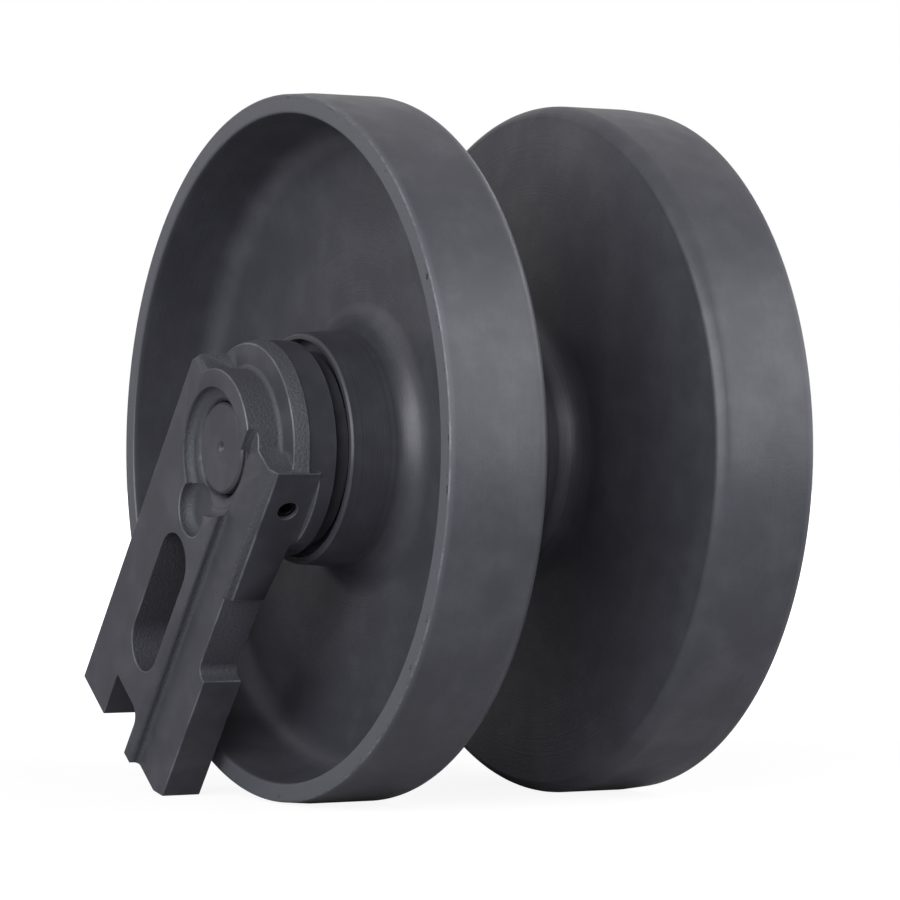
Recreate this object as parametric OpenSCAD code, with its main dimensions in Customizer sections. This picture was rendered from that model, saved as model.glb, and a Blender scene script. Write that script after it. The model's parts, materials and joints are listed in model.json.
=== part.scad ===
// Front idler of a small rubber-track excavator: a twin-rim wheel that runs on a pinned axle
// between two cast slide brackets. The wheel's axis is Y, +Z is up and the origin is the axle's centre.

/* [Wheel] */
// Diameter over the treads
tread_d = 350; // [330:1:380]
// Width over both rims
wheel_w = 201; // [190:1:220]
// Free width between the rims for the track's guide lugs
guide_gap = 92.8; // [84:0.2:100]
// Width of the rounded shoulder on each rim's inner edge
shoulder_w = 8.8; // [6:0.2:12]
// How far the rounded shoulder drops below the tread
shoulder_drop = 4.7; // [3:0.1:6]
// Width of the tapered band on each rim's outer edge
taper_w = 12.6; // [8:0.2:16]
// How far the tapered band drops below the tread
taper_drop = 1; // [0.4:0.1:2]
// Thickness of the rim's lip at the outer face
lip_t = 9.2; // [7:0.1:12]
// How far the rim's bore closes in towards the web
rim_draft = 5.2; // [2:0.1:8]
// Thickness of the web
web_t = 12; // [10:0.5:15]
// How far the web's foot lies nearer to the middle than its rim
web_dish = 6.4; // [3:0.2:9]
// Diameter of the hub barrel between the webs
barrel_d = 114; // [108:1:122]
// Radius of the fillets where the web meets the rim and the hub
web_fillet = 14; // [8:0.5:16]
// Depth of the weld groove round the middle of the barrel
weld_depth = 6; // [4:0.5:8]
// Height of the weld bead above the barrel
weld_crown = 0.8; // [0.4:0.1:1.5]

/* [Hub ends] */
// How far each hub end lies inside the rim's outer face
hub_sunk = 12.1; // [9:0.1:15]
// Wall of the thin ring round each hub end
ring_wall = 3.4; // [2.5:0.1:5]
// Chamfer on the outer edge of that ring
ring_chamfer = 1; // [0.4:0.1:1.6]
// Depth of the recess inside that ring
ring_depth = 7; // [5:0.5:9]
// How much the hub boss thickens towards the web
boss_draft = 2.8; // [1:0.1:4]
// Axial gap between the hub ring and the bracket's collar
collar_gap = 5.9; // [4:0.1:8]

/* [Axle and bushes] */
// Diameter of the axle shaft
shaft_d = 45; // [40:1:50]
// How far the shaft's ends lie behind the brackets' raised faces
shaft_sunk = 4.5; // [2:0.1:5.5]
// Chamfer on the shaft's ends
shaft_chamfer = 1.2; // [0.5:0.1:2]
// Diameter of the lathe centre in the shaft's ends
centre_d = 7; // [5:0.5:9]
// Wall of the flanged bushes
bush_wall = 4.5; // [3.5:0.5:5.5]
// Length of a bush in the hub's bore
bush_l = 41; // [34:1:48]
// Thickness of a bush's thrust flange
flange_t = 4; // [3:0.5:5]
// Width of a bush's thrust flange beyond its wall
flange_w = 6; // [4:0.5:7]
// Extra radius of the oil space between the bushes
oil_space = 3; // [2:0.5:5]
// Diameter of the oil drillings in the shaft
oil_drill_d = 6; // [4:0.5:8]
// Diameter of the oil plug in the shaft's far end
plug_d = 12; // [10:0.5:13]
// Distance from the shaft's axis to the oil plug, clear of the lock pin
plug_off = 13; // [12.5:0.1:14]
// Length of the oil plug
plug_l = 12; // [9:0.5:15]
// Width across the flats of the plug's hexagon socket
plug_key = 6; // [5:0.5:7]

/* [Face seals] */
// Wall of the bracket's thrust boss round the shaft
thrust_wall = 6.5; // [5:0.5:8]
// Radial room between the thrust boss and the seal rings
seal_room = 2.5; // [1.5:0.5:4]
// Wall of a seal ring's neck
neck_wall = 3; // [2.5:0.5:4]
// Section diameter of the seal's rubber ring
seal_cord_d = 8.4; // [7:0.2:10]
// Radial room between a sealing face's flange and its seat
face_room = 2; // [1.2:0.1:3]
// Thickness of the sealing face's flange
face_t = 4; // [3:0.5:5]
// How far the sealing plane lies inside the hub ring's end
face_sunk = 2; // [1:0.5:3]
// Axial room behind a seal ring's neck
neck_room = 0.6; // [0.4:0.1:1]
// Wall of the bracket's nose round its seal seat
nose_wall = 5.5; // [4:0.5:7]
// Radial gap between the nose and the hub ring
nose_gap = 5.3; // [4:0.1:7]

/* [Bracket] */
// Lean of the brackets from straight down
bracket_angle = 38.5; // [30:0.5:45]
// Gap between the rims and the brackets' inner faces
side_gap = 8.2; // [6:0.2:11]
// Thickness of the bracket's plate
plate_t = 21; // [18:0.5:24]
// Height of the raised face above the plate
step_h = 5.3; // [4:0.1:7]
// Distance from the axle to the bracket's straight edge
straight_x = 45; // [42:0.5:48]
// Distance from the axle to the step beside the raised face
step_x = 24.5; // [20:0.5:27]
// Distance from the axle to the side face of the upper pad
upper_x = 49.4; // [46:0.2:52]
// Distance from the axle to the cast side between the pads
cast_x = 47.6; // [44:0.2:50]
// Distance from the axle to the side face of the lower pad
lower_x = 55.7; // [53:0.1:59]
// Distance from the axle down to the bracket's end
leg_l = 184.1; // [176:0.1:186]
// Rake of the bracket's end from square
end_rake = 1.4; // [0:0.1:3]
// Distance from the axle up to the flat top corner
top_h = 24.1; // [22:0.1:27]
// Width of the bevel on the flat top corner
top_bevel = 4; // [2:0.2:6]
// Depth of that bevel
top_bevel_depth = 3.3; // [2:0.1:5]
// Distance from the axle up to the upper pad's top
pad_top = 23; // [20:0.5:25]
// Distance from the axle down to the upper pad's end
pad_end = 56.5; // [54:0.5:60]
// Distance from the axle down to the lower pad's start
lower_start = 103; // [96:0.5:108]
// Fillet where the lower pad starts
pad_fillet = 5; // [2:0.5:6]
// Bevel along the upper pad's front edge
pad_bevel = 3.8; // [2:0.2:5]
// Length of the lower pad's corner chamfer
toe_l = 5; // [3:0.5:7]
// Width of the lower pad's corner chamfer
toe_w = 9.7; // [7:0.1:12]
// How far the upper pad is milled on behind the plate, into the collar
pad_back = 6; // [4:0.2:8]
// Distance from the axle down to where the pad's back starts to slope
pad_back_end = 19; // [15:0.5:22]
// Radius of the fillet at the foot of the step
step_fillet = 2.5; // [1:0.5:4]

/* [Bracket head] */
// Outer radius of the raised horseshoe round the shaft's end
horseshoe_r = 39; // [37:0.5:41]
// Radius of the recess inside the horseshoe
recess_r = 32; // [30:0.5:34]
// How far the recess lies below the axle
recess_drop = 2.5; // [1:0.5:4]
// Radius of the cast fillet round the recess's floor
recess_fillet = 4; // [2:0.5:5]
// Radius of the round pocket below the recess
lobe_r = 14; // [11:0.5:16]
// Distance from the axle down to that pocket
lobe_y = 38; // [35:0.5:40]
// Depth of that pocket
lobe_depth = 7; // [6:0.1:8]
// Radius of the cast fillet round that pocket's floor
lobe_fillet = 5; // [2:0.5:6]
// Radial room round the shaft's end
shaft_room = 1.8; // [1.6:0.1:2.4]
// How far that room lies to the side of the shaft
shaft_room_shift = 1.4; // [0:0.1:1.5]
// Depth of that room below the recess
shaft_room_depth = 6; // [4:0.5:7]
// Radius of the fillet between the horseshoe's outside and the flat ring
horseshoe_fillet = 2.5; // [1:0.5:4]
// Distance from the raised face back to the flat ring behind the horseshoe
ring_back = 18; // [16:0.5:19]
// Thickness of the cast shoulder under that flat ring
flat_ring_t = 8; // [6:0.5:9]
// How far the cast shoulder stands out from the collar
cast_lip = 0.8; // [0.5:0.1:1.1]
// How much the cast shoulder narrows to the flat ring
cast_draft = 2.4; // [1:0.1:4]
// How much wider the collar is than the nose
collar_step = 4.7; // [3.5:0.1:5]

/* [Bracket openings] */
// Width of the long slot
slot_w = 30.6; // [26:0.2:34]
// Distance from the axle down to the slot's top
slot_top = 57.7; // [55:0.1:60]
// Distance from the axle down to the slot's bottom
slot_bottom = 139.2; // [134:0.1:144]
// Width of the notch in the bracket's end
notch_w = 30.7; // [26:0.1:34]
// How far the notch's middle lies from the axle line
notch_x = 0.9; // [0:0.1:3]
// Depth of the notch
notch_depth = 25.5; // [22:0.5:30]
// Radius of the notch's round corner
notch_r = 7; // [4:0.5:9]

/* [Pins and rings] */
// Diameter of the spring pin that locks the shaft
pin_d = 10; // [8:0.5:11]
// Wall of the spring pin
pin_wall = 2; // [1.5:0.1:2.5]
// Width of the slit along the spring pin
pin_slit = 1.6; // [1:0.1:2.5]
// How far the pin's ends lie below the bracket's side faces
pin_sunk = 2; // [1:0.5:4]
// Distance from the raised face back to the pin
pin_back = 21.4; // [20:0.1:22]
// Section diameter of the rubber ring on the shaft
shaft_cord_d = 3.2; // [2.4:0.1:4]

/* [Clearances] */
// Radial running clearance of the shaft in the bushes
running_clear = 0.05; // [0.02:0.01:0.09]
// Radial clearance of pieces that are fixed in a bore
seat_clear = 0.02; // [0.01:0.01:0.05]
// Clearance of each thrust face
thrust_clear = 0.4; // [0.3:0.1:0.8]
// Clearance between the two sealing faces
face_clear = 0.2; // [0.1:0.1:0.4]
// Clearance of the rubber rings in their seats
cord_clear = 0.05; // [0.03:0.01:0.1]

/* [Hidden] */
$fn = 96;
paint = "#4f4f55";
steel = "#8d8f94";
bronze = "#a8864f";
rubber = "#222224";

// A cut runs this far past the face that it opens
over = 1;

// Share of a fillet's radius by which its fill starts inside the material
fill_sink = 0.125;

// Half angles of the lathe centre's cone and of one side of a hexagon
centre_half = 30;
hex_half = 30;

// Radii, from the shaft outwards
shaft_r = shaft_d / 2;
bush_in_r = shaft_r + running_clear;
bush_out_r = bush_in_r + bush_wall;
hub_bore_r = bush_out_r + seat_clear;
flange_r = bush_out_r + flange_w;
thrust_r = shaft_r + thrust_wall;
seal_in_r = thrust_r + seal_room;
neck_r = seal_in_r + neck_wall;
seal_cord_r = seal_cord_d / 2;
cord_mid_r = neck_r + cord_clear + seal_cord_r;
seat_r = cord_mid_r + seal_cord_r + cord_clear;
face_r = seat_r - face_room;
nose_r = seat_r + nose_wall;
collar_r = nose_r + collar_step;
cast_r = collar_r + cast_lip;
flat_ring_r = cast_r - cast_draft;
ring_in_r = nose_r + nose_gap;
ring_out_r = ring_in_r + ring_wall;
boss_r = ring_out_r + boss_draft;
barrel_r = barrel_d / 2;
tread_r = tread_d / 2;
lip_r = tread_r - taper_drop - lip_t;
edge_r = tread_r - shoulder_drop;

// Distances from the wheel's middle plane along the axle
rim_end = wheel_w / 2;
rim_start = guide_gap / 2;
web_in = rim_start - web_dish;
web_out = web_in + web_t;
hub_end = rim_end - hub_sunk;
recess_floor = hub_end - ring_depth;
face_plane = hub_end - face_sunk;
neck_l = face_t + seal_cord_d;
seal_l = face_clear / 2 + neck_l + neck_room;
flange_face = face_plane - seal_l;
seat_floor = flange_face - flange_t;
bush_start = seat_floor - bush_l;
collar_face = hub_end + collar_gap;
thrust_face = flange_face + thrust_clear;
plate_back = rim_end + side_gap;
plate_face = plate_back + plate_t;
raised_face = plate_face + step_h;
shaft_end = raised_face - shaft_sunk;
ring_face = raised_face - ring_back;
ring_start = ring_face - flat_ring_t;
pin_at = raised_face - pin_back;
pad_start = plate_back - pad_back;
nose_end = face_plane - face_sunk / 2;
bracket_seat_floor = face_plane + seal_l;

// Middle of a seal's rubber ring, measured from its ring's sealing face
cord_at = face_t + cord_clear + seal_cord_r;

shoulder_r = (pow(shoulder_drop, 2) + pow(shoulder_w, 2)) / (2 * shoulder_drop);
shaft_cord_r = shaft_cord_d / 2;
groove_r = shaft_r + 2 * shaft_cord_r + 2 * cord_clear;
groove_w = shaft_cord_d + 2 * neck_room;
groove_at = (bracket_seat_floor + pin_at - pin_d / 2) / 2;
pin_r = pin_d / 2;
pin_right = upper_x - pin_sunk;
pin_left = straight_x - pin_sunk;
notch_left = notch_x - notch_w / 2;

// The bracket's outlines run on past its end by this much before the raked end is cut
leg_reach = leg_l + toe_l;

plug_r = plug_d / 2;
plug_hole_l = plug_l + seat_clear;
shaft_drill_end = bush_start / 2;

// Direction of a vector, for the fillets of a profile
function unit(v) = v / norm(v);

// Fills the inner corner at p, between the sides towards a and b, with a true arc. The fill starts
// inside the material behind the corner, so that the two join without a seam
module corner_fill(p, a, b, r) {
    side_a = unit(a - p);
    side_b = unit(b - p);
    half = acos(side_a * side_b) / 2;
    reach = r / tan(half);
    outwards = unit(side_a + side_b);
    root = p - outwards * r * fill_sink;
    centre = p + outwards * r / sin(half);
    difference() {
        polygon([root, p + side_a * reach, centre, p + side_b * reach]);
        translate(centre) circle(r);
    }
}

// Turns a profile of radius and distance from the middle plane about the axle, on the left side
module turned() {
    rotate([90, 0, 0]) rotate_extrude($fn = 180) children();
}

// Left side as drawn, right side as its mirror image
module on_side(side) {
    mirror([0, side == "right" ? 1 : 0, 0]) children();
}

// Stands the bracket's drawing plane at its lean: x across it, y up along it, z out along the axle
module leaning() {
    rotate([0, bracket_angle, 0]) rotate([90, 0, 0]) children();
}

module ring(inner, outer, from, to) {
    translate([inner, from]) square([outer - inner, to - from]);
}

// Half section of one forged wheel half, from the weld to the rim
module wheel_profile() {
    barrel_foot = [barrel_r, web_in];
    rim_edge = [edge_r, rim_start];
    tread_start = [tread_r, rim_start + shoulder_w];
    lip_edge = [lip_r, rim_end];
    rim_foot = [lip_r - rim_draft, web_out + web_dish];
    boss_foot = [boss_r, web_out];
    boss_top = [ring_out_r, hub_end - ring_chamfer];
    difference() {
        union() {
            polygon([
                [0, 0],
                [barrel_r - weld_depth, 0],
                [barrel_r, weld_depth],
                barrel_foot,
                rim_edge,
                tread_start,
                [tread_r, rim_end - taper_w],
                [tread_r - taper_drop, rim_end],
                lip_edge,
                rim_foot,
                boss_foot,
                boss_top,
                [ring_out_r - ring_chamfer, hub_end],
                [0, hub_end]
            ]);
            intersection() {
                translate([tread_r - shoulder_r, rim_start + shoulder_w]) circle(shoulder_r);
                polygon([rim_edge, [edge_r, tread_start[1]], tread_start, [tread_r, rim_start]]);
            }
            corner_fill(barrel_foot, [barrel_r, 0], rim_edge, web_fillet);
            corner_fill(rim_foot, lip_edge, boss_foot, web_fillet);
            corner_fill(boss_foot, rim_foot, boss_top, web_fillet);
        }
        ring(0, hub_bore_r, -over, hub_end);
        ring(0, hub_bore_r + oil_space, -over, bush_start);
        ring(0, seat_r, seat_floor, hub_end + over);
        ring(0, ring_in_r, recess_floor, hub_end + over);
    }
}

module wheel_half(side) {
    color(paint) on_side(side) turned() wheel_profile();
}

// Weld that fills the groove between the two halves and stands a little proud
module hub_weld() {
    root_r = barrel_r - weld_depth + 2 * seat_clear;
    top_r = barrel_r + weld_crown;
    flank = top_r - root_r;
    crown_r = (pow(weld_depth, 2) + pow(weld_crown, 2)) / (2 * weld_crown);
    color(paint) turned() intersection() {
        translate([top_r - crown_r, 0]) circle(crown_r);
        polygon([[root_r, 0], [top_r, flank], [top_r, -flank]]);
    }
}

// Flanged bush: the sleeve carries the wheel and the flange takes the side thrust
module bush(side) {
    color(bronze) on_side(side) turned() {
        ring(bush_in_r, bush_out_r, bush_start, flange_face);
        ring(bush_in_r, flange_r, seat_floor, flange_face);
    }
}

// Section of one seal ring: a lapped face flange with a neck behind it for the rubber ring
module seal_ring_profile() {
    ring(seal_in_r, face_r, 0, face_t);
    ring(seal_in_r, neck_r, 0, neck_l);
}

module hub_seal_ring(side) {
    color(steel) on_side(side) turned()
        translate([0, face_plane - face_clear / 2]) mirror([0, 1]) seal_ring_profile();
}

module bracket_seal_ring(side) {
    color(steel) on_side(side) turned()
        translate([0, face_plane + face_clear / 2]) seal_ring_profile();
}

module hub_seal_cord(side) {
    color(rubber) on_side(side) turned()
        translate([cord_mid_r, face_plane - face_clear / 2 - cord_at]) circle(seal_cord_r, $fn = 48);
}

module bracket_seal_cord(side) {
    color(rubber) on_side(side) turned()
        translate([cord_mid_r, face_plane + face_clear / 2 + cord_at]) circle(seal_cord_r, $fn = 48);
}

module shaft_ring(side) {
    color(rubber) on_side(side) turned()
        translate([shaft_r + cord_clear + shaft_cord_r, groove_at]) circle(shaft_cord_r, $fn = 48);
}

// Half section of the shaft, with a lathe centre in its end
module shaft_profile() {
    centre_depth = centre_d / 2 / tan(centre_half);
    polygon([
        [0, 0],
        [shaft_r, 0],
        [shaft_r, shaft_end - shaft_chamfer],
        [shaft_r - shaft_chamfer, shaft_end],
        [centre_d / 2, shaft_end],
        [0, shaft_end - centre_depth]
    ]);
}

// Oil way beside the lock pin: plug hole in the far end, a drilling inwards and one out to the hub
module oil_way() {
    drill_r = oil_drill_d / 2;
    translate([0, plug_off, 0]) {
        translate([0, 0, shaft_end - plug_hole_l]) cylinder(r = plug_r + seat_clear, h = plug_hole_l + over);
        translate([0, 0, shaft_drill_end]) cylinder(r = drill_r, h = shaft_end - shaft_drill_end);
        translate([0, 0, shaft_drill_end]) rotate([-90, 0, 0]) cylinder(r = drill_r, h = shaft_r);
    }
}

module pin_hole() {
    translate([-straight_x - over, 0, pin_at]) rotate([0, 90, 0])
        cylinder(r = pin_r + seat_clear, h = straight_x + upper_x + 2 * over);
}

module axle_shaft() {
    color(steel) difference() {
        union() {
            turned() shaft_profile();
            on_side("right") turned() shaft_profile();
        }
        on_side("left") leaning() pin_hole();
        on_side("right") leaning() {
            pin_hole();
            oil_way();
        }
    }
}

module oil_plug() {
    key_depth = plug_l / 2;
    color(steel) on_side("right") leaning() translate([0, plug_off, shaft_end - plug_l]) difference() {
        cylinder(r = plug_r, h = plug_l);
        translate([0, 0, plug_l - key_depth])
            cylinder(d = plug_key / cos(hex_half), h = key_depth + over, $fn = 6);
    }
}

// Slit tube along the bracket's cross hole
module lock_pin(side) {
    pin_l = pin_left + pin_right;
    color(steel) on_side(side) leaning() translate([-pin_left, 0, pin_at]) rotate([0, 90, 0]) difference() {
        cylinder(r = pin_r, h = pin_l);
        translate([0, 0, -over]) cylinder(r = pin_r - pin_wall, h = pin_l + 2 * over);
        translate([-pin_r - over, -pin_slit / 2, -over]) cube([pin_r + over, pin_slit, pin_l + 2 * over]);
    }
}

// Straight part of the bracket's outline up to the step
module leg_outline() {
    translate([-straight_x, -leg_reach]) square([straight_x + step_x, leg_reach]);
    translate([-straight_x, 0]) square([straight_x, top_h]);
}

// Outline of the raised face: the leg and the horseshoe, up to the step
module raised_outline() {
    leg_outline();
    intersection() {
        circle(horseshoe_r);
        translate([-straight_x, 0]) square([straight_x + step_x, horseshoe_r]);
    }
}

// Part of the outline beyond the step, with the slide pads and the cast side between them
module low_outline() {
    translate([0, -pad_end]) square([upper_x, pad_end + pad_top]);
    translate([0, -lower_start]) square([cast_x, lower_start]);
    polygon([
        [0, -lower_start],
        [lower_x, -lower_start],
        [lower_x, toe_l - leg_l],
        [lower_x - 2 * toe_w, -leg_reach],
        [0, -leg_reach]
    ]);
    corner_fill([cast_x, -lower_start], [cast_x, 0], [lower_x, -lower_start], pad_fillet);
}

// Long slot and end notch, as they pierce the bracket
module pierced_outline() {
    slot_r = slot_w / 2;
    notch_h = notch_depth + toe_l;
    translate([0, -slot_top - slot_r]) circle(slot_r);
    translate([0, slot_r - slot_bottom]) circle(slot_r);
    translate([-slot_r, slot_r - slot_bottom]) square([slot_w, slot_bottom - slot_top - slot_w]);
    translate([notch_left, -leg_reach]) difference() {
        square([notch_w, notch_h]);
        corner_fill([notch_w, notch_h], [0, notch_h], [notch_w, 0], notch_r);
    }
}

// Round parts of one bracket: horseshoe with its foot fillet, flat ring, cast shoulder, collar and nose
module bracket_turning() {
    ring(0, horseshoe_r, ring_start, plate_face);
    corner_fill(
        [horseshoe_r, ring_face], [horseshoe_r, raised_face], [flat_ring_r, ring_face], horseshoe_fillet
    );
    polygon([[0, ring_start], [cast_r, ring_start], [flat_ring_r, ring_face], [0, ring_face]]);
    ring(0, collar_r, collar_face, ring_start);
    ring(0, nose_r, nose_end, collar_face);
}

// Bores of one bracket for the shaft, its rubber ring and the seal
module bracket_bores() {
    ring(0, shaft_r + seat_clear, -over, raised_face + over);
    ring(0, groove_r, groove_at - groove_w / 2, groove_at + groove_w / 2);
    ring(thrust_r, seat_r, nose_end - over, bracket_seat_floor);
}

// Slide pad behind the plate, sloped towards its lower end
module pad_behind() {
    half_slope = pad_back / 2;
    rotate([90, 0, 90]) linear_extrude(upper_x)
        polygon([
            [pad_top, pad_start],
            [-pad_back_end, pad_start],
            [-pad_back_end - half_slope, pad_start + half_slope],
            [-pad_end, plate_back],
            [-pad_end, plate_back + over],
            [pad_top, plate_back + over]
        ]);
}

// Cut that carries the upper pad's flat on through the cast shoulder and part of the collar
module pad_flat_cut() {
    translate([upper_x, -cast_r, pad_start]) cube([cast_r, 2 * cast_r, raised_face - pad_start]);
}

// Cut along the raked end, which passes the lower pad's chamfer
module end_cut() {
    translate([lower_x - toe_w, -leg_l, plate_back - over]) rotate(end_rake)
        translate([-leg_l, -leg_l, 0]) cube([2 * leg_l, leg_l, raised_face - plate_back + 2 * over]);
}

// Raised face with the horseshoe's recess, and the cast fillet at the foot of the recess's wall
module raised_part() {
    translate([0, 0, plate_face]) linear_extrude(step_h) difference() {
        raised_outline();
        translate([0, -recess_drop]) circle(recess_r);
    }
    intersection() {
        linear_extrude(raised_face) raised_outline();
        translate([0, -recess_drop, plate_face]) rotate_extrude()
            corner_fill([recess_r, 0], [0, 0], [recess_r, step_h], recess_fillet);
    }
}

// Cutter for a round cast pocket with a fillet round its floor
module pocket_cut(r, depth, fillet) {
    rotate_extrude() difference() {
        square([r, depth + over]);
        corner_fill([r, 0], [0, 0], [r, depth], fillet);
    }
}

// Bevel along the upper pad's front edge
module pad_bevel_cut() {
    rotate([90, 0, 0]) translate([0, 0, -pad_top - over]) linear_extrude(pad_top + over + pad_end)
        polygon([
            [upper_x - pad_bevel - over, plate_face + over],
            [upper_x + over, plate_face + over],
            [upper_x + over, plate_face - pad_bevel - over]
        ]);
}

// Bevel over the flat top corner, outside the horseshoe
module top_bevel_cut() {
    difference() {
        translate([-straight_x - over, 0, 0]) rotate([90, 0, 90]) linear_extrude(straight_x + over)
            polygon([
                [top_h - top_bevel, raised_face + over],
                [top_h - top_bevel, raised_face],
                [top_h, raised_face - top_bevel_depth],
                [top_h + over, raised_face - top_bevel_depth],
                [top_h + over, raised_face + over]
            ]);
        cylinder(r = horseshoe_r, h = raised_face + 2 * over);
    }
}

// Fillet along the foot of the step, from the recess's rim down past the bracket's end
module step_foot() {
    rim_down = recess_drop + sqrt(pow(recess_r, 2) - pow(step_x, 2));
    rotate([90, 0, 0]) translate([0, 0, rim_down]) linear_extrude(leg_reach - rim_down)
        corner_fill([step_x, plate_face], [step_x, raised_face], [lower_x, plate_face], step_fillet);
}

module bracket(side) {
    color(paint) on_side(side) {
        leaning() difference() {
            union() {
                translate([0, 0, plate_back]) linear_extrude(plate_face - plate_back) {
                    leg_outline();
                    low_outline();
                }
                raised_part();
                rotate_extrude($fn = 180) bracket_turning();
                rotate_extrude($fn = 180) ring(0, thrust_r, thrust_face, collar_face);
                pad_behind();
                step_foot();
            }
            rotate_extrude($fn = 180) bracket_bores();
            translate([0, -lobe_y, raised_face - lobe_depth]) pocket_cut(lobe_r, lobe_depth, lobe_fillet);
            translate([shaft_room_shift, 0, plate_face - shaft_room_depth])
                cylinder(r = shaft_r + shaft_room, h = shaft_room_depth + step_h + over);
            translate([0, 0, plate_back - over]) linear_extrude(raised_face - plate_back + 2 * over)
                pierced_outline();
            pin_hole();
            pad_flat_cut();
            pad_bevel_cut();
            top_bevel_cut();
            end_cut();
        }
    }
}

wheel_half("left");  // wheel_half_left
wheel_half("right");  // wheel_half_right
hub_weld();
bush("left");  // bush_left
bush("right");  // bush_right
hub_seal_ring("left");  // hub_seal_ring_left
hub_seal_ring("right");  // hub_seal_ring_right
hub_seal_cord("left");  // hub_seal_cord_left
hub_seal_cord("right");  // hub_seal_cord_right
axle_shaft();
bracket("left");  // bracket_left
bracket("right");  // bracket_right
bracket_seal_ring("left");  // bracket_seal_ring_left
bracket_seal_ring("right");  // bracket_seal_ring_right
bracket_seal_cord("left");  // bracket_seal_cord_left
bracket_seal_cord("right");  // bracket_seal_cord_right
shaft_ring("left");  // shaft_ring_left
shaft_ring("right");  // shaft_ring_right
lock_pin("left");  // lock_pin_left
lock_pin("right");  // lock_pin_right
oil_plug();
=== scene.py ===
"""Looks of a small excavator's front idler: painted wheel, slide brackets and axle.

They are made round the solids of its frame. Lengths are in metres, the wheel's axis is Y, +Z is up
and the origin is the axle's centre.
"""

import json
import math

import bmesh
import bpy
from bpy.props import FloatProperty, FloatVectorProperty, IntProperty, PointerProperty
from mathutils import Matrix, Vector


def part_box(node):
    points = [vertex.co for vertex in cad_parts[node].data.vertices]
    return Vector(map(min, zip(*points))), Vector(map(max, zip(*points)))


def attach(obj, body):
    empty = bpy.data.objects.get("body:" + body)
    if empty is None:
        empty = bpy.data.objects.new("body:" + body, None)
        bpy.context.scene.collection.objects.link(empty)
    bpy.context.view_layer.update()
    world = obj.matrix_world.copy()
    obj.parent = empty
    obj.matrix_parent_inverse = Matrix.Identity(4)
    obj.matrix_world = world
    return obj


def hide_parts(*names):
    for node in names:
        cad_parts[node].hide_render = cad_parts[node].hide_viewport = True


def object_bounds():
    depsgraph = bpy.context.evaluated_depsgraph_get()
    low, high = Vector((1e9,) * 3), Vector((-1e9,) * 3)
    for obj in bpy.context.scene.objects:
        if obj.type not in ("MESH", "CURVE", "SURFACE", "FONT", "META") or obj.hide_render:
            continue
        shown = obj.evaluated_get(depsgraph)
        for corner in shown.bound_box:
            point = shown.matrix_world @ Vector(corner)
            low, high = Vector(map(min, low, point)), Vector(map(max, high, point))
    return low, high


bl_info = {
    "name": "Front Idler",
    "version": (1, 0, 0),
    "blender": (4, 5, 0),
    "location": "View3D > Sidebar > Front Idler",
    "description": "Builds the painted wheel, brackets and axle of a front idler round its solids",
    "category": "Object",
}

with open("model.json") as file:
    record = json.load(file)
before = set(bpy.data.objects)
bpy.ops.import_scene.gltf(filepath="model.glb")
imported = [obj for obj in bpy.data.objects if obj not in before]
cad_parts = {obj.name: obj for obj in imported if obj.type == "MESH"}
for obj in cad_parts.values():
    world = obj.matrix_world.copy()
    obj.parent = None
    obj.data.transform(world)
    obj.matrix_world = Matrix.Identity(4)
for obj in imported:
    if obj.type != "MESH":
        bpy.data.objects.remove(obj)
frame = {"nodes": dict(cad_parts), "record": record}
CAD_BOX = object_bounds()
NODES = frame["nodes"]
BODY_OF = {
    node: body for body, nodes in frame["record"]["behaviour"]["bodies"].items() for node in nodes
}
SIDES = ("left", "right")


def mm(length):
    """Millimetres as metres."""
    return length / 1000


def per_mm(size):
    """Scale of a pattern whose features are about this many millimetres wide."""
    return 1 / mm(size)


def srgb(code):
    """Linear colour of an sRGB hex code."""
    parts = [int(code[i:i + 2], 16) / 255 for i in (1, 3, 5)]
    return [p / 12.92 if p <= 0.04045 else ((p + 0.055) / 1.055) ** 2.4 for p in parts]


# Two points closer than this are one point
WELD = mm(0.001)
# Edges that turn by more than this are corners of the real piece
CORNER = math.radians(24)
# Edges that turn by more than this stay sharp in the shading
SHARP = math.radians(42)
# Corners where two edges meet at less than this have no room for a round
TIGHT = math.radians(60)
# Edge length that a round needs where corners meet, in widths of the round
CORNER_ROOM = 1.5
# Distance that a rounded edge keeps from tight corners, in widths of the round
TIGHT_CLEARANCE = 2
# Steps across a rounded corner of a turned section, and across a rounded edge of a solid
SECTION_STEPS = 4
EDGE_STEPS = 3
# Corners of the wheel's section beyond this many radii of the hub's weld belong to the rim
HUB_REACH = 1.5
# A face points along a direction when its normal has at least this much of it
FACING = 0.9
# Distance of the brackets' straight side from the axle line, as a share of the pads' distance
STRAIGHT_SIDE = 0.9
# Places of the brackets' materials; the last is edge wear with painted highlight on the rounds
MILLED, CAST, WEAR_AND_HIGHLIGHT_EDGES = range(3)

# Sizes of the paint's patterns in millimetres. Lathe marks, dust and moulding sand are finer than
# this on the real piece, and are drawn as coarse as they need to show.
CLOUD_MM = 24
FLAKE_MM = 7
LATHE_MM = 0.9
PEEL_MM = 1.2
DUST_MM = 0.9
SAND_MM = 1.0
PIT_MM = 1.5
BLOOM_MM = 6
ENAMEL_IOR = 1.5
RUBBER_IOR = 1.52

# Half the width of the floor, in metres
FLOOR_REACH = 40
# Strength of the white that the camera sees in the floor, and its share near the wheel
FLOOR_WHITE = 1.5
NEAR_SHARE = 0.6
# Distances from the axle between which the floor fades to that white alone
FADE_START, FADE_END = mm(500), mm(1500)
# Width of the camera's sensor in millimetres, and how far the camera sees in metres
SENSOR_WIDTH = 36
CAMERA_REACH = 200
WHITE = (1, 1, 1, 1)


def length_property(name, description, size):
    """A length, given in millimetres."""
    return FloatProperty(
        name=name, description=description, default=mm(size), min=0, unit="LENGTH", precision=4
    )


def angle_property(name, description, degrees):
    """An angle, given in degrees."""
    return FloatProperty(
        name=name, description=description, default=math.radians(degrees), unit="ROTATION"
    )


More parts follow.
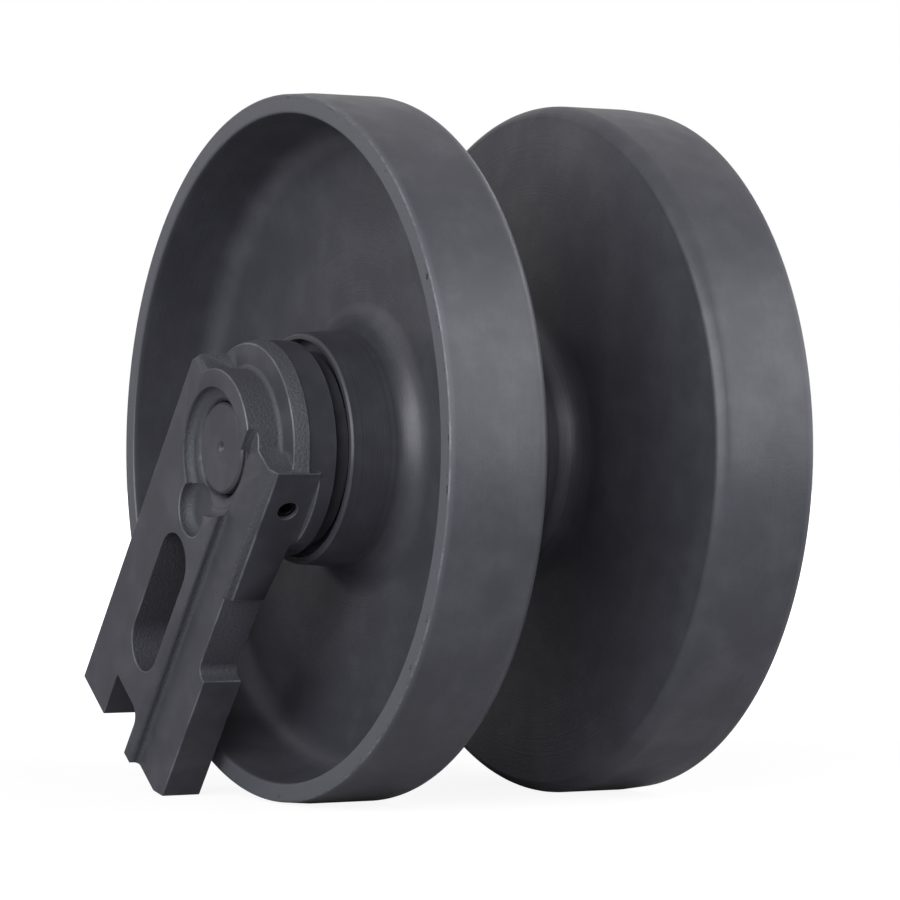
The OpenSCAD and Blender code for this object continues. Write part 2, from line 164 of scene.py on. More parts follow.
def strength_property(name, description, strength):
    """Strength of a light."""
    return FloatProperty(name=name, description=description, default=strength, min=0)


def face_property(name, description, size):
    """Width and height of a softbox, given in metres."""
    return FloatVectorProperty(
        name=name, description=description, default=size, size=2, unit="LENGTH"
    )


def colour_property(name, description, code):
    """A colour, given as an sRGB hex code."""
    return FloatVectorProperty(
        name=name, description=description, default=srgb(code), min=0, max=1, size=3,
        subtype="COLOR",
    )


class IdlerShape(bpy.types.PropertyGroup):
    """Sizes of the finish that the solids leave sharp."""

    rim_round: length_property("Rim edges", "Round on the edges of the rims", 1.1)
    hub_round: length_property("Hub edges", "Round on the edges of the hub", 0.5)
    bracket_round: length_property(
        "Bracket edges", "Round on the edges of the cast brackets", 0.6
    )
    axle_round: length_property(
        "Axle edges", "Round on the edges of the shaft, the pins and the plug", 0.3
    )
    bore_reach: length_property(
        "Bore reach", "Radius within which the brackets' edges round the bore stay crisp", 36
    )
    centre_reach: length_property(
        "Centre reach", "Radius within which the shaft's centre and drillings stay crisp", 15
    )
    wheel_steps: IntProperty(
        name="Wheel steps", description="Facets round the wheel", default=256, min=64
    )
    lean: angle_property("Lean", "Lean of the brackets from straight down", 38.5)
    pad_reach: length_property("Pads", "Distance from the axle line to the milled side pads", 48.6)
    notch_top: length_property(
        "Notch", "Distance from the axle down to the milled notch in the leg", 158
    )
    collar_end: length_property(
        "Collar", "Distance from the middle plane to the end of the turned collar", 108.9
    )


class IdlerFinish(bpy.types.PropertyGroup):
    """Colours of the paint and bare pieces, and the wheel's marks, painted light and shade."""

    paint: colour_property("Paint", "Dark grey enamel", "#3f3f45")
    paler_tone: colour_property("Rubbed paint", "Enamel where it is rubbed or lies thinner", "#4b4b51")
    # Lathe marks' grooves; on the hub their darkness is painted shade
    lathe_groove_and_hub_shade: colour_property("Lathe marks and hub shade", "Enamel in the lathe marks' grooves, and painted shade on the hub", "#2c2c31")
    # Inside this radius the grooves are dark enough to paint the hub's shade
    hub_shade_radius: length_property(
        "Hub shade radius", "Radius inside which the lathe marks' grooves are dark as painted shade", 62
    )
    # Painted highlight: paler paint on the brackets' rounded edges, partly edge wear
    edge_wear_and_highlight: colour_property("Edge wear and highlight", "Enamel paler on the brackets' edges, as edge wear and painted highlight", "#75757c")
    # Painted light: the rims' outer lip faces are painted paler to look lit
    lip_painted_light: colour_property("Lip painted light", "Enamel painted paler on the rims' lips as painted light", "#5a5a60")
    # Painted highlight: pale glints on the rims' outer corner rounds
    corner_glint: colour_property(
        "Corner glints", "Pale painted glints on the rims' outer corners", "#7a7a80"
    )
    crest_radius: length_property("Corner radius", "Radius of the rims' outer corners", 174)
    chip: colour_property("Chips", "Dark primer under chipped paint", "#1e1e20")
    # Start of the rims' chips and of the painted light on their lips
    chip_and_lit_lip_start: length_property(
        "Chips and lip light start", "Distance from the middle plane at which the rims' chips and painted lip light begin", 97
    )
    rim_end: length_property(
        "Rim end", "Distance from the middle plane to the rims' outer faces", 100.5
    )
    lip_radius: length_property("Lip radius", "Inner radius of the rims' lips", 164)
    chip_radius: length_property("Chips radius", "Radius outside which the rims are chipped", 168)
    bronze: colour_property("Bronze", "Bushes", "#9a7238")
    iron: colour_property("Iron", "Lapped seal rings", "#8b8d90")
    rubber: colour_property("Rubber", "Rings of the seals", "#17171a")
    pin_steel: colour_property("Pin steel", "Blackened spring pins", "#2c2c30")
    plug_steel: colour_property("Plug steel", "Oil plug", "#6e7075")


class IdlerStage(bpy.types.PropertyGroup):
    """Camera, floor and light."""

    azimuth: angle_property("Azimuth", "Camera's turn from the -Y side", 60.343)
    elevation: angle_property("Elevation", "Camera's height angle", -0.409)
    distance: length_property("Distance", "Camera's distance from the axle's centre", 2026)
    lens: FloatProperty(
        name="Lens", description="Focal length on a 36 mm sensor", default=160.5, unit="CAMERA"
    )
    shift: FloatVectorProperty(
        name="Shift", description="Shift of the lens", default=(-0.00293, -0.00116), size=2
    )
    floor: colour_property("Floor", "Pale floor", "#c0c0c0")
    fill: strength_property("Fill", "Strength of the even light from all round", 0.06)
    gloss_fill: strength_property(
        "Gloss fill", "Strength of the studio's walls in the gloss", 0.58
    )
    softbox_distance: length_property(
        "Softbox distance", "Distance of the softboxes from the wheel", 3000
    )
    softbox_colour: colour_property("Softbox colour", "Slightly cool light", "#f8f9ff")
    front_box: strength_property(
        "Front softbox", "Brightness of the softbox that faces the treads", 2.2
    )
    front_turn: angle_property("Front turn", "Front softbox's turn from +X", 29)
    front_rise: angle_property("Front rise", "Front softbox's height angle", 22)
    front_size: face_property("Front size", "Width and height of the front softbox", (3.3, 2.8))
    side_box: strength_property(
        "Side softbox", "Brightness of the softbox that faces the dish", 3.8
    )
    side_turn: angle_property("Side turn", "Side softbox's turn from +X", -57)
    side_rise: angle_property("Side rise", "Side softbox's height angle", 15)
    side_size: face_property("Side size", "Width and height of the side softbox", (3.7, 2.6))
    back_box: strength_property(
        "Back softbox", "Brightness of the softbox that lights the far side", 2.6
    )
    back_turn: angle_property("Back turn", "Back softbox's turn from +X", 100)
    back_rise: angle_property("Back rise", "Back softbox's height angle", 10)
    back_size: face_property("Back size", "Width and height of the back softbox", (3.0, 2.2))


def add(tree, kind, inputs=None, **settings):
    """Adds a node, sets it up, and links or fills its sockets."""
    node = tree.nodes.new(kind)
    for name, value in settings.items():
        setattr(node, name, value)
    for name, value in (inputs or {}).items():
        if isinstance(value, bpy.types.NodeSocket):
            tree.links.new(value, node.inputs[name])
        else:
            node.inputs[name].default_value = value
    return node


def opaque(colour):
    """A colour with full alpha."""
    return (*colour, 1)


def new_material(name):
    """An empty material, with its node tree and its object coordinates."""
    material = bpy.data.materials.new(name)
    material.use_nodes = True
    tree = material.node_tree
    tree.nodes.clear()
    return material, tree, add(tree, "ShaderNodeTexCoord").outputs["Object"]


def shade(tree, **inputs):
    """Closes a material with one shader."""
    sockets = {key.replace("_", " "): value for key, value in inputs.items()}
    shader = add(tree, "ShaderNodeBsdfPrincipled", sockets)
    add(tree, "ShaderNodeOutputMaterial", {"Surface": shader.outputs["BSDF"]})


def turned_place(tree, place):
    """Radius and distance along the axle, so that a pattern runs round it as lathe marks do."""
    split = add(tree, "ShaderNodeSeparateXYZ", {"Vector": place})
    across = add(
        tree, "ShaderNodeCombineXYZ", {"X": split.outputs["X"], "Y": split.outputs["Z"]}
    )
    reach = add(tree, "ShaderNodeVectorMath", {0: across.outputs["Vector"]}, operation="LENGTH")
    radius = reach.outputs["Value"]
    lathe = add(tree, "ShaderNodeCombineXYZ", {"X": radius, "Y": split.outputs["Y"]})
    return lathe.outputs["Vector"], radius, split.outputs["Y"]


def cloudy_paint(tree, place, paint, paler_tone, spread, low, high):
    """Paint in soft clouds of two greys, and the share of the rubbed one."""
    clouds = add(
        tree, "ShaderNodeTexNoise",
        {"Vector": place, "Scale": per_mm(CLOUD_MM), "Detail": 6.0, "Roughness": spread},
    )
    share = add(
        tree, "ShaderNodeMapRange",
        {"Value": clouds.outputs["Fac"], "From Min": low, "From Max": high},
        interpolation_type="SMOOTHSTEP",
    )
    colour = add(
        tree, "ShaderNodeMix",
        {"Factor": share.outputs["Result"], "A": opaque(paint), "B": opaque(paler_tone)},
        data_type="RGBA",
    )
    return colour.outputs["Result"], share.outputs["Result"]


def lit_lips_and_chipped_rims(tree, finish, paint, flakes, radius, out):
    """Lips painted paler as painted light, with a few chips along the rims' edges."""
    edge = add(
        tree, "ShaderNodeMapRange",
        {"Value": out, "From Min": finish.chip_and_lit_lip_start, "From Max": finish.rim_end},
    )
    lip = add(
        tree, "ShaderNodeMapRange",
        {"Value": radius, "From Min": finish.lip_radius - mm(1),
         "From Max": finish.lip_radius + mm(1)},
    )
    # Painted light: the lips' outer faces, which are painted paler to look lit
    lit_lip = add(
        tree, "ShaderNodeMath", {0: edge.outputs["Result"], 1: lip.outputs["Result"]},
        operation="MULTIPLY",
    )
    lip_lit_coat = add(
        tree, "ShaderNodeMix",
        {"Factor": lit_lip.outputs["Value"], "A": paint, "B": opaque(finish.lip_painted_light)},
        data_type="RGBA",
    )
    # The flakes' noise only passes the chips' threshold where this raises it
    corner = add(
        tree, "ShaderNodeMapRange",
        {"Value": radius, "From Min": finish.chip_radius, "From Max": finish.chip_radius + mm(3),
         "To Max": 0.26},
    )
    bare = add(
        tree, "ShaderNodeMath",
        {0: edge.outputs["Result"], 1: corner.outputs["Result"], 2: flakes},
        operation="MULTIPLY_ADD",
    )
    chipped = add(
        tree, "ShaderNodeMapRange",
        {"Value": bare.outputs["Value"], "From Min": 0.86, "From Max": 0.9},
    )
    coat = add(
        tree, "ShaderNodeMix",
        {"Factor": chipped.outputs["Result"], "A": lip_lit_coat.outputs["Result"],
         "B": opaque(finish.chip)},
        data_type="RGBA",
    )
    return coat.outputs["Result"]


def lathe_marks_and_hub_shade(tree, finish, coat, rings, radius):
    """Paint darker in the grooves of the lathe marks, darkest on the hub as painted shade."""
    # Painted shade: the grooves darken most on the hub, at the bottom of the dish
    hub_shade_depth = add(
        tree, "ShaderNodeMapRange",
        {"Value": radius, "From Min": finish.hub_shade_radius, "From Max": finish.hub_shade_radius + mm(12),
         "To Min": 0.7, "To Max": 0.12},
    )
    grooves = add(
        tree, "ShaderNodeMapRange",
        {"Value": rings, "From Min": 0.46, "From Max": 0.72, "To Max": hub_shade_depth.outputs["Result"]},
    )
    marked = add(
        tree, "ShaderNodeMix",
        {"Factor": grooves.outputs["Result"], "A": coat, "B": opaque(finish.lathe_groove_and_hub_shade)},
        data_type="RGBA",
    )
    return marked.outputs["Result"]


def painted_corner_glints(tree, finish, coat, flakes, radius, out):
    """Painted highlight: pale glints scattered along the rounds of the rims' outer corners."""
    start, full = mm(1), mm(0.6)
    corner_out = add(
        tree, "ShaderNodeMapRange",
        {"Value": out, "From Min": finish.rim_end - start, "From Max": finish.rim_end - full},
    )
    corner_up = add(
        tree, "ShaderNodeMapRange",
        {"Value": radius, "From Min": finish.crest_radius - start,
         "From Max": finish.crest_radius - full},
    )
    crest = add(
        tree, "ShaderNodeMath",
        {0: corner_out.outputs["Result"], 1: corner_up.outputs["Result"]}, operation="MULTIPLY",
    )
    # Painted highlight: noise scatters the glints along the corner round
    glint_spots = add(
        tree, "ShaderNodeMapRange",
        {"Value": flakes, "From Min": 0.46, "From Max": 0.7, "To Max": crest.outputs["Value"]},
    )
    paler_tone = add(
        tree, "ShaderNodeMix",
        {"Factor": glint_spots.outputs["Result"], "A": coat, "B": opaque(finish.corner_glint)},
        data_type="RGBA",
    )
    return paler_tone.outputs["Result"]


def wheel_enamel(finish):
    """Satin enamel sprayed over turned steel: cool dark grey, soft broad highlights, faint lathe
    rings under the paint darkened on the hub as painted shade, cloudy paler patches, rims with
    lips painted paler as painted light, painted glints on their outer corners, and dark chips."""
    material, tree, place = new_material("Satin enamel on turned steel")
    lathe, radius, along = turned_place(tree, place)
    out = add(tree, "ShaderNodeMath", {0: along}, operation="ABSOLUTE").outputs["Value"]
    flakes = add(
        tree, "ShaderNodeTexNoise",
        {"Vector": place, "Scale": per_mm(FLAKE_MM), "Detail": 6.0, "Roughness": 0.7},
    ).outputs["Fac"]
    rings = add(
        tree, "ShaderNodeTexNoise",
        {"Vector": lathe, "Scale": per_mm(LATHE_MM), "Detail": 3.0, "Roughness": 0.6},
    ).outputs["Fac"]
    peel = add(
        tree, "ShaderNodeTexNoise",
        {"Vector": place, "Scale": per_mm(PEEL_MM), "Detail": 2.0, "Roughness": 0.5},
    ).outputs["Fac"]
    coat, paler_tone = cloudy_paint(tree, place, finish.paint, finish.paler_tone, 0.65, 0.36, 0.74)
    # Painted light on the rims' lips, and chips along their edges
    coat = lit_lips_and_chipped_rims(tree, finish, coat, flakes, radius, out)
    # Lathe marks, with painted shade on the hub
    coat = lathe_marks_and_hub_shade(tree, finish, coat, rings, radius)
    # Painted highlight: glints on the rims' outer corners
    coat = painted_corner_glints(tree, finish, coat, flakes, radius, out)
    height = add(tree, "ShaderNodeMath", {0: rings, 1: peel}, operation="ADD")
    bump = add(
        tree, "ShaderNodeBump",
        {"Height": height.outputs["Value"], "Strength": 1.0, "Distance": mm(0.09)},
    )
    gloss = add(tree, "ShaderNodeMapRange", {"Value": paler_tone, "To Min": 0.39, "To Max": 0.33})
    shade(
        tree, Base_Color=coat, Roughness=gloss.outputs["Result"], IOR=ENAMEL_IOR,
        Normal=bump.outputs["Normal"],
    )
    return material


def milled_enamel(name, paint, paler_tone):
    """Satin enamel on milled iron: even dark grey with a fine dusty grain. Given paler greys, it
    paints the brackets' rounded edges, partly as edge wear and partly as painted highlight."""
    material, tree, place = new_material(name)
    coat, _ = cloudy_paint(tree, place, paint, paler_tone, 0.6, 0.4, 0.7)
    dust = add(
        tree, "ShaderNodeTexNoise",
        {"Vector": place, "Scale": per_mm(DUST_MM), "Detail": 3.0, "Roughness": 0.6},
    )
    bump = add(
        tree, "ShaderNodeBump",
        {"Height": dust.outputs["Fac"], "Strength": 1.0, "Distance": mm(0.06)},
    )
    shade(tree, Base_Color=coat, Roughness=0.46, IOR=ENAMEL_IOR, Normal=bump.outputs["Normal"])
    return material


def cast_enamel(finish):
    """Satin enamel on a sand-cast skin: the same grey over coarse grains and pits that break up the
    highlights."""
    material, tree, place = new_material("Satin enamel on sand-cast iron")
    grains = add(
        tree, "ShaderNodeTexNoise",
        {"Vector": place, "Scale": per_mm(SAND_MM), "Detail": 4.0, "Roughness": 0.65},
    )
    pits = add(tree, "ShaderNodeTexVoronoi", {"Vector": place, "Scale": per_mm(PIT_MM)})
    height = add(
        tree, "ShaderNodeMath", {0: grains.outputs["Fac"], 1: pits.outputs["Distance"]},
        operation="ADD",
    )
    coat = add(
        tree, "ShaderNodeMix",
        {"Factor": grains.outputs["Fac"], "A": opaque(finish.paint), "B": opaque(finish.paler_tone)},
        data_type="RGBA",
    )
    bump = add(
        tree, "ShaderNodeBump",
        {"Height": height.outputs["Value"], "Strength": 0.8, "Distance": mm(0.28)},
    )
    shade(
        tree, Base_Color=coat.outputs["Result"], Roughness=0.6, IOR=ENAMEL_IOR,
        Normal=bump.outputs["Normal"],
    )
    return material


def lathe_metal(name, colour, metallic, roughness, mark_mm):
    """A turned metal: its tool marks run round the axle and draw the highlights out across them.
    They are drawn coarser than the real ones, so that they show."""
    material, tree, place = new_material(name)
    lathe, _, _ = turned_place(tree, place)
    rings = add(
        tree, "ShaderNodeTexNoise", {"Vector": lathe, "Scale": per_mm(mark_mm), "Detail": 3.0}
    )
    bump = add(
        tree, "ShaderNodeBump",
        {"Height": rings.outputs["Fac"], "Strength": 1.0, "Distance": mm(0.03)},
    )
    rough = add(
        tree, "ShaderNodeMapRange",
        {"Value": rings.outputs["Fac"], "To Min": roughness - 0.08, "To Max": roughness + 0.08},
    )
    shade(
        tree, Base_Color=opaque(colour), Metallic=metallic, Roughness=rough.outputs["Result"],
        Normal=bump.outputs["Normal"],
    )
    return material


def moulded_rubber(finish):
    """Nitrile rubber from a mould: black, dull, with a dusty bloom in clouds."""
    material, tree, place = new_material("Moulded nitrile rubber")
    bloom = add(
        tree, "ShaderNodeTexNoise", {"Vector": place, "Scale": per_mm(BLOOM_MM), "Detail": 4.0}
    )
    rough = add(
        tree, "ShaderNodeMapRange",
        {"Value": bloom.outputs["Fac"], "To Min": 0.55, "To Max": 0.8},
    )
    shade(
        tree, Base_Color=opaque(finish.rubber), Roughness=rough.outputs["Result"], IOR=RUBBER_IOR
    )
    return material


def turn_at(vert):
    """Angle by which a wire turns at one of its points."""
    ways = [(edge.other_vert(vert).co - vert.co).normalized() for edge in vert.link_edges]
    return math.pi - ways[0].angle(ways[1])


def half_section(node):
    """Half section of a turned solid, as a closed wire on the +X side."""
    bm = bmesh.new()
    bm.from_mesh(NODES[node].data)
    bmesh.ops.remove_doubles(bm, verts=bm.verts, dist=WELD)
    bmesh.ops.bisect_plane(
        bm, geom=bm.verts[:] + bm.edges[:] + bm.faces[:], dist=WELD, plane_co=(0, 0, 0),
        plane_no=(0, 0, 1), clear_inner=True, clear_outer=True,
    )
    bmesh.ops.delete(bm, geom=[v for v in bm.verts if v.co.x < 0], context="VERTS")
    return bm


def round_corners(bm, corners, width):
    """Rounds corners of a wire section."""
    bmesh.ops.bevel(
        bm, geom=corners, offset=width, offset_type="OFFSET", segments=SECTION_STEPS, profile=0.5,
        affect="VERTICES", clamp_overlap=True, material=-1,
    )


def spin_section(bm, steps):
    """Turns a wire section into a closed solid about the axle."""
    bmesh.ops.spin(
        bm, geom=bm.verts[:] + bm.edges[:], cent=(0, 0, 0), axis=(0, 1, 0), angle=math.tau,
        steps=steps, use_merge=True, use_duplicate=False,
    )
    bmesh.ops.remove_doubles(bm, verts=bm.verts, dist=WELD)
    bmesh.ops.recalc_face_normals(bm, faces=bm.faces)


def is_tight(vert, corners, room):
    """True where a solid's corner edges meet too closely for a round that needs this much room."""
    edges = [edge for edge in vert.link_edges if edge in corners]
    ways = [(edge.other_vert(vert).co - vert.co).normalized() for edge in edges]
    close = any(a.angle(b) < TIGHT for i, a in enumerate(ways) for b in ways[:i])
    return close or (len(edges) > 2 and min(edge.calc_length() for edge in edges) < room)


def rounded_solid(node, width, crisp=0, edge_slot=0):
    """Copy of a solid with rounded outer edges, apart from those near tight corners and those
    within the crisp radius of the axle's line."""
    bm = bmesh.new()
    bm.from_mesh(NODES[node].data)
    bmesh.ops.remove_doubles(bm, verts=bm.verts, dist=WELD)
    bmesh.ops.recalc_face_normals(bm, faces=bm.faces)
    corners = {e for e in bm.edges if e.is_manifold and e.calc_face_angle() > CORNER}
    tight = [v.co.copy() for v in bm.verts if is_tight(v, corners, CORNER_ROOM * width)]
    clearance = TIGHT_CLEARANCE * width
    outer = [
        edge for edge in bm.edges if edge in corners and edge.is_convex
        and min(math.hypot(v.co.x, v.co.z) for v in edge.verts) >= crisp
        and all((v.co - spot).length > clearance for v in edge.verts for spot in tight)
    ]
    rounds = bmesh.ops.bevel(
        bm, geom=outer, offset=width, offset_type="OFFSET", segments=EDGE_STEPS, profile=0.5,
        affect="EDGES", clamp_overlap=False, material=-1,
    )
    for face in rounds["faces"]:
        face.material_index = edge_slot
    bmesh.ops.triangulate(
        bm, faces=[f for f in bm.faces if len(f.verts) > 4], quad_method="BEAUTY",
        ngon_method="EAR_CLIP",
    )
    return bm


def is_milled(face, shape):
    """True on the flat faces, the side pads, the notch and the turned collar, and false on the cast
    skin."""
    place, normal = face.calc_center_median(), face.normal
    sin, cos = math.sin(shape.lean), math.cos(shape.lean)
    across = place.x * cos - place.z * sin
    down = -place.x * sin - place.z * cos
    faces_across = normal.x * cos - normal.z * sin
    flat = abs(normal.y) > FACING
    beside = across > shape.pad_reach or across < -shape.pad_reach * STRAIGHT_SIDE
    pad = abs(faces_across) > FACING and beside
    return flat or pad or down > shape.notch_top or abs(place.y) < shape.collar_end


def new_piece(bm, name, node, materials):
    """Makes the piece that stands for a solid and moves with its body."""
    mesh = bpy.data.meshes.new(name)
    bm.to_mesh(mesh)
    bm.free()
    mesh.shade_smooth()
    mesh.set_sharp_from_angle(angle=SHARP)
    for material in materials:
        mesh.materials.append(material)
    piece = bpy.data.objects.new(name, mesh)
    bpy.context.scene.collection.objects.link(piece)
    weights = piece.modifiers.new("Face weights", "WEIGHTED_NORMAL")
    weights.keep_sharp = True
    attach(piece, BODY_OF[node])
    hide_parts(node)
    return piece


def make_floor(stage):
    """Pale floor that the camera sees as white, apart from the wheel's shadow on it."""
    bm = bmesh.new()
    bmesh.ops.create_grid(bm, x_segments=1, y_segments=1, size=FLOOR_REACH)
    bmesh.ops.translate(bm, verts=bm.verts, vec=(0, 0, CAD_BOX[0].z))
    mesh = bpy.data.meshes.new("floor")
    bm.to_mesh(mesh)
    bm.free()
    floor = bpy.data.objects.new("floor", mesh)
    bpy.context.scene.collection.objects.link(floor)
    material, tree, place = new_material("Pale studio floor")
    paper = add(tree, "ShaderNodeBsdfDiffuse", {"Color": opaque(stage.floor)})
    white = add(tree, "ShaderNodeEmission", {"Color": WHITE, "Strength": FLOOR_WHITE})
    rays = add(tree, "ShaderNodeLightPath")
    away = add(tree, "ShaderNodeVectorMath", {0: place}, operation="LENGTH")
    fade = add(
        tree, "ShaderNodeMapRange",
        {"Value": away.outputs["Value"], "From Min": FADE_START, "From Max": FADE_END,
         "To Min": NEAR_SHARE, "To Max": 1.0},
    )
    share = add(
        tree, "ShaderNodeMath", {0: rays.outputs["Is Camera Ray"], 1: fade.outputs["Result"]},
        operation="MULTIPLY",
    )
    mix = add(
        tree, "ShaderNodeMixShader",
        {"Fac": share.outputs["Value"], 1: paper.outputs["BSDF"], 2: white.outputs["Emission"]},
    )
    add(tree, "ShaderNodeOutputMaterial", {"Surface": mix.outputs["Shader"]})
    mesh.materials.append(material)


def make_world(scene, stage):
    """White studio: white to the camera, dimmer in the gloss, and fainter still as fill light."""
    world = bpy.data.worlds.new("White studio")
    world.use_nodes = True
    tree = world.node_tree
    tree.nodes.clear()
    rays = add(tree, "ShaderNodeLightPath")
    gloss = add(
        tree, "ShaderNodeMath",
        {0: rays.outputs["Is Glossy Ray"], 1: stage.gloss_fill - stage.fill, 2: stage.fill},
        operation="MULTIPLY_ADD",
    )
    strength = add(
        tree, "ShaderNodeMath",
        {0: rays.outputs["Is Camera Ray"], 1: 1 - stage.fill, 2: gloss.outputs["Value"]},
        operation="MULTIPLY_ADD",
    )
    white = add(
        tree, "ShaderNodeBackground", {"Color": WHITE, "Strength": strength.outputs["Value"]}
    )
    add(tree, "ShaderNodeOutputWorld", {"Surface": white.outputs["Background"]})
    scene.world = world


def make_softbox(name, stage, brightness, turn, rise, size):
    """Softbox turned to the wheel. The front one's reflection lights the treads, the side one fills
    the dish and draws the sheen along the far rim's shoulder, and the back one lights the far
    side."""
    lamp = bpy.data.lights.new(name, "AREA")
    lamp.shape = "RECTANGLE"
    lamp.size, lamp.size_y = size
    lamp.energy = brightness * math.pi * lamp.size * lamp.size_y
    lamp.color = stage.softbox_colour
    softbox = bpy.data.objects.new(name, lamp)
    back = Vector((
        math.cos(turn) * math.cos(rise),
        math.sin(turn) * math.cos(rise),
        math.sin(rise),
    ))
    softbox.location = back * stage.softbox_distance
    softbox.rotation_euler = back.to_track_quat("Z", "Y").to_euler()
    bpy.context.scene.collection.objects.link(softbox)


def make_camera(scene, stage):
    """Camera of the long-lens view from the front and the left bracket's side."""
    camera = bpy.data.objects.new("camera", bpy.data.cameras.new("camera"))
    scene.collection.objects.link(camera)
    back = Vector((
        math.sin(stage.azimuth) * math.cos(stage.elevation),
        -math.cos(stage.azimuth) * math.cos(stage.elevation),
        math.sin(stage.elevation),
    ))
    camera.location = back * stage.distance
    camera.rotation_euler = back.to_track_quat("Z", "Y").to_euler()
    camera.data.sensor_width = SENSOR_WIDTH
    camera.data.lens = stage.lens
    camera.data.shift_x, camera.data.shift_y = stage.shift
    camera.data.clip_end = CAMERA_REACH
    scene.camera = camera


class IDLER_OT_wheel(bpy.types.Operator):
    """Turns both wheel halves from their sections and rounds their edges"""

    bl_idname = "idler.wheel"
    bl_label = "Wheel halves"

    def execute(self, context):
        shape = context.scene.idler_shape
        enamel = wheel_enamel(context.scene.idler_finish)
        rim_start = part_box("hub_weld")[1].x * HUB_REACH
        for side in SIDES:
            node = f"wheel_half_{side}"
            bm = half_section(node)
            corners = [v for v in bm.verts if turn_at(v) > CORNER]
            hub = [v for v in corners if v.co.x < rim_start]
            rim = [v for v in corners if v.co.x >= rim_start]
            round_corners(bm, rim, shape.rim_round)
            round_corners(bm, [v for v in hub if v.is_valid], shape.hub_round)
            spin_section(bm, shape.wheel_steps)
            new_piece(bm, f"wheel_{side}", node, [enamel])
        bm = half_section("hub_weld")
        spin_section(bm, shape.wheel_steps)
        new_piece(bm, "weld_bead", "hub_weld", [enamel])
        return {"FINISHED"}


class IDLER_OT_brackets(bpy.types.Operator):
    """Rounds the cast brackets' edges and parts their milled faces from the cast skin"""

    bl_idname = "idler.brackets"
    bl_label = "Slide brackets"

    def execute(self, context):
        shape = context.scene.idler_shape
        finish = context.scene.idler_finish
        materials = [
            milled_enamel("Satin enamel on milled iron", finish.paint, finish.paler_tone),
            cast_enamel(finish),
            # Rounded edges: edge wear and painted highlight, in paler greys than the faces
            milled_enamel("Satin enamel thinned on edges", finish.paler_tone, finish.edge_wear_and_highlight),
        ]
        for side in SIDES:
            node = f"bracket_{side}"
            bm = rounded_solid(node, shape.bracket_round, shape.bore_reach, WEAR_AND_HIGHLIGHT_EDGES)
            for face in bm.faces:
                if face.material_index == MILLED and not is_milled(face, shape):
                    face.material_index = CAST
            new_piece(bm, f"slide_bracket_{side}", node, materials)
        return {"FINISHED"}


class IDLER_OT_axle(bpy.types.Operator):
    """Rounds the edges of the shaft, the spring pins and the oil plug"""

    bl_idname = "idler.axle"
    bl_label = "Axle"

    def execute(self, context):
        shape = context.scene.idler_shape
        finish = context.scene.idler_finish
        enamel = milled_enamel("Satin enamel on shaft steel", finish.paint, finish.paler_tone)
        pin = lathe_metal(
            "Blackened spring steel", finish.pin_steel, metallic=0.9, roughness=0.45, mark_mm=1.5
        )
        plug = lathe_metal(
            "Turned plug steel", finish.plug_steel, metallic=1.0, roughness=0.4, mark_mm=1.2
        )
        bm = rounded_solid("axle_shaft", shape.axle_round, shape.centre_reach)
        new_piece(bm, "shaft", "axle_shaft", [enamel])
        for side in SIDES:
            node = f"lock_pin_{side}"
            new_piece(rounded_solid(node, shape.axle_round), f"spring_pin_{side}", node, [pin])
        new_piece(rounded_solid("oil_plug", shape.axle_round), "plug", "oil_plug", [plug])
        return {"FINISHED"}


class IDLER_OT_bearings(bpy.types.Operator):
    """Finishes the bushes and the face seals inside the hub"""

    bl_idname = "idler.bearings"
    bl_label = "Bushes and seals"

    def execute(self, context):
        finish = context.scene.idler_finish
        metals = {
            "bush": lathe_metal(
                "Turned bearing bronze", finish.bronze, metallic=1.0, roughness=0.35, mark_mm=0.9
            ),
            "seal_ring": lathe_metal(
                "Lapped seal iron", finish.iron, metallic=1.0, roughness=0.25, mark_mm=0.6
            ),
        }
        rubber = moulded_rubber(finish)
        for node, solid in NODES.items():
            kind = node.rsplit("_", 1)[0]
            material = next((m for key, m in metals.items() if kind.endswith(key)), None)
            if kind.endswith("seal_cord") or kind == "shaft_ring":
                material = rubber
            if material:
                solid.data.materials.clear()
                solid.data.materials.append(material)
        return {"FINISHED"}


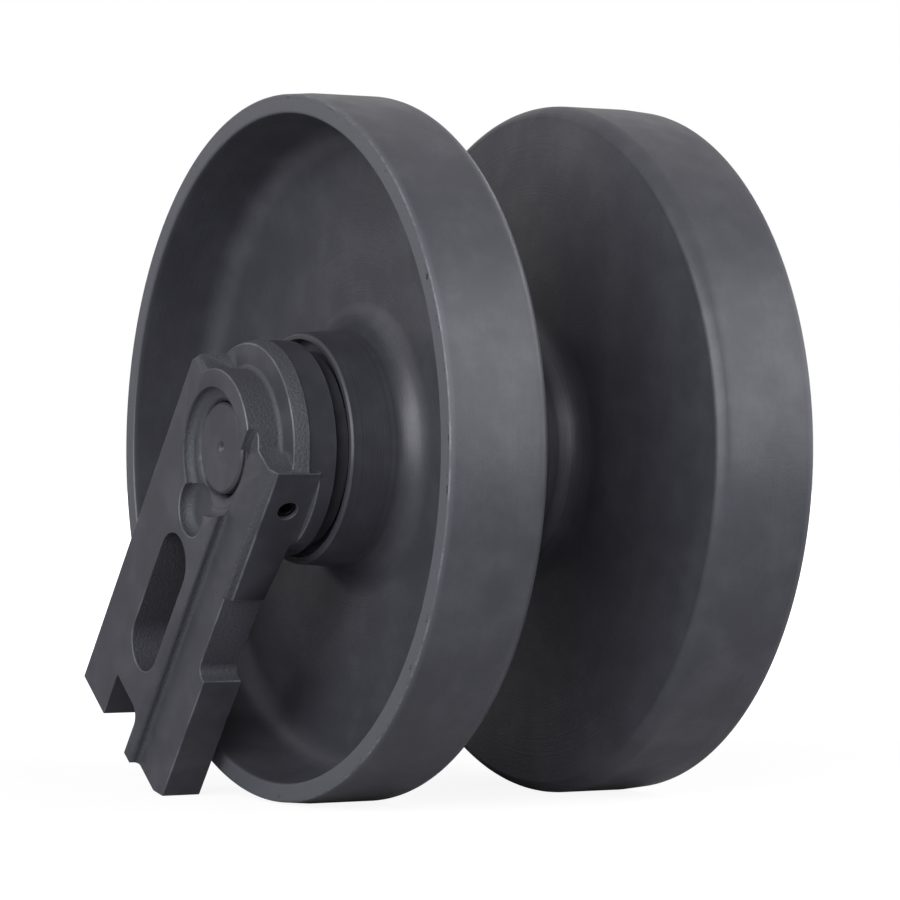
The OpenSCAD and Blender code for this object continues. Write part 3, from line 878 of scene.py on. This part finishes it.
class IDLER_OT_stage(bpy.types.Operator):
    """Sets the floor, the studio light and the camera"""

    bl_idname = "idler.stage"
    bl_label = "Stage"

    def execute(self, context):
        stage = context.scene.idler_stage
        context.scene.view_settings.view_transform = "Standard"
        make_floor(stage)
        make_world(context.scene, stage)
        make_softbox(
            "front softbox", stage, stage.front_box, stage.front_turn, stage.front_rise,
            stage.front_size,
        )
        make_softbox(
            "side softbox", stage, stage.side_box, stage.side_turn, stage.side_rise,
            stage.side_size,
        )
        make_softbox(
            "back softbox", stage, stage.back_box, stage.back_turn, stage.back_rise,
            stage.back_size,
        )
        make_camera(context.scene, stage)
        return {"FINISHED"}


class IDLER_PT_panel(bpy.types.Panel):
    """Front idler's builders and sizes"""

    bl_label = "Front Idler"
    bl_idname = "IDLER_PT_panel"
    bl_space_type = "VIEW_3D"
    bl_region_type = "UI"
    bl_category = "Front Idler"

    def draw(self, context):
        scene = context.scene
        column = self.layout.column(align=True)
        for operator in OPERATORS:
            column.operator(operator.bl_idname)
        for group in (scene.idler_shape, scene.idler_finish, scene.idler_stage):
            box = self.layout.box()
            for name in group.bl_rna.properties.keys():
                if name not in {"rna_type", "name"}:
                    box.prop(group, name)


OPERATORS = (IDLER_OT_wheel, IDLER_OT_brackets, IDLER_OT_axle, IDLER_OT_bearings, IDLER_OT_stage)
CLASSES = (IdlerShape, IdlerFinish, IdlerStage, *OPERATORS, IDLER_PT_panel)


def register():
    for cls in CLASSES:
        bpy.utils.register_class(cls)
    bpy.types.Scene.idler_shape = PointerProperty(type=IdlerShape)
    bpy.types.Scene.idler_finish = PointerProperty(type=IdlerFinish)
    bpy.types.Scene.idler_stage = PointerProperty(type=IdlerStage)


def unregister():
    del bpy.types.Scene.idler_stage
    del bpy.types.Scene.idler_finish
    del bpy.types.Scene.idler_shape
    for cls in reversed(CLASSES):
        bpy.utils.unregister_class(cls)


def main():
    register()
    bpy.ops.idler.wheel()
    bpy.ops.idler.brackets()
    bpy.ops.idler.axle()
    bpy.ops.idler.bearings()
    bpy.ops.idler.stage()


if __name__ == "__main__":
    main()
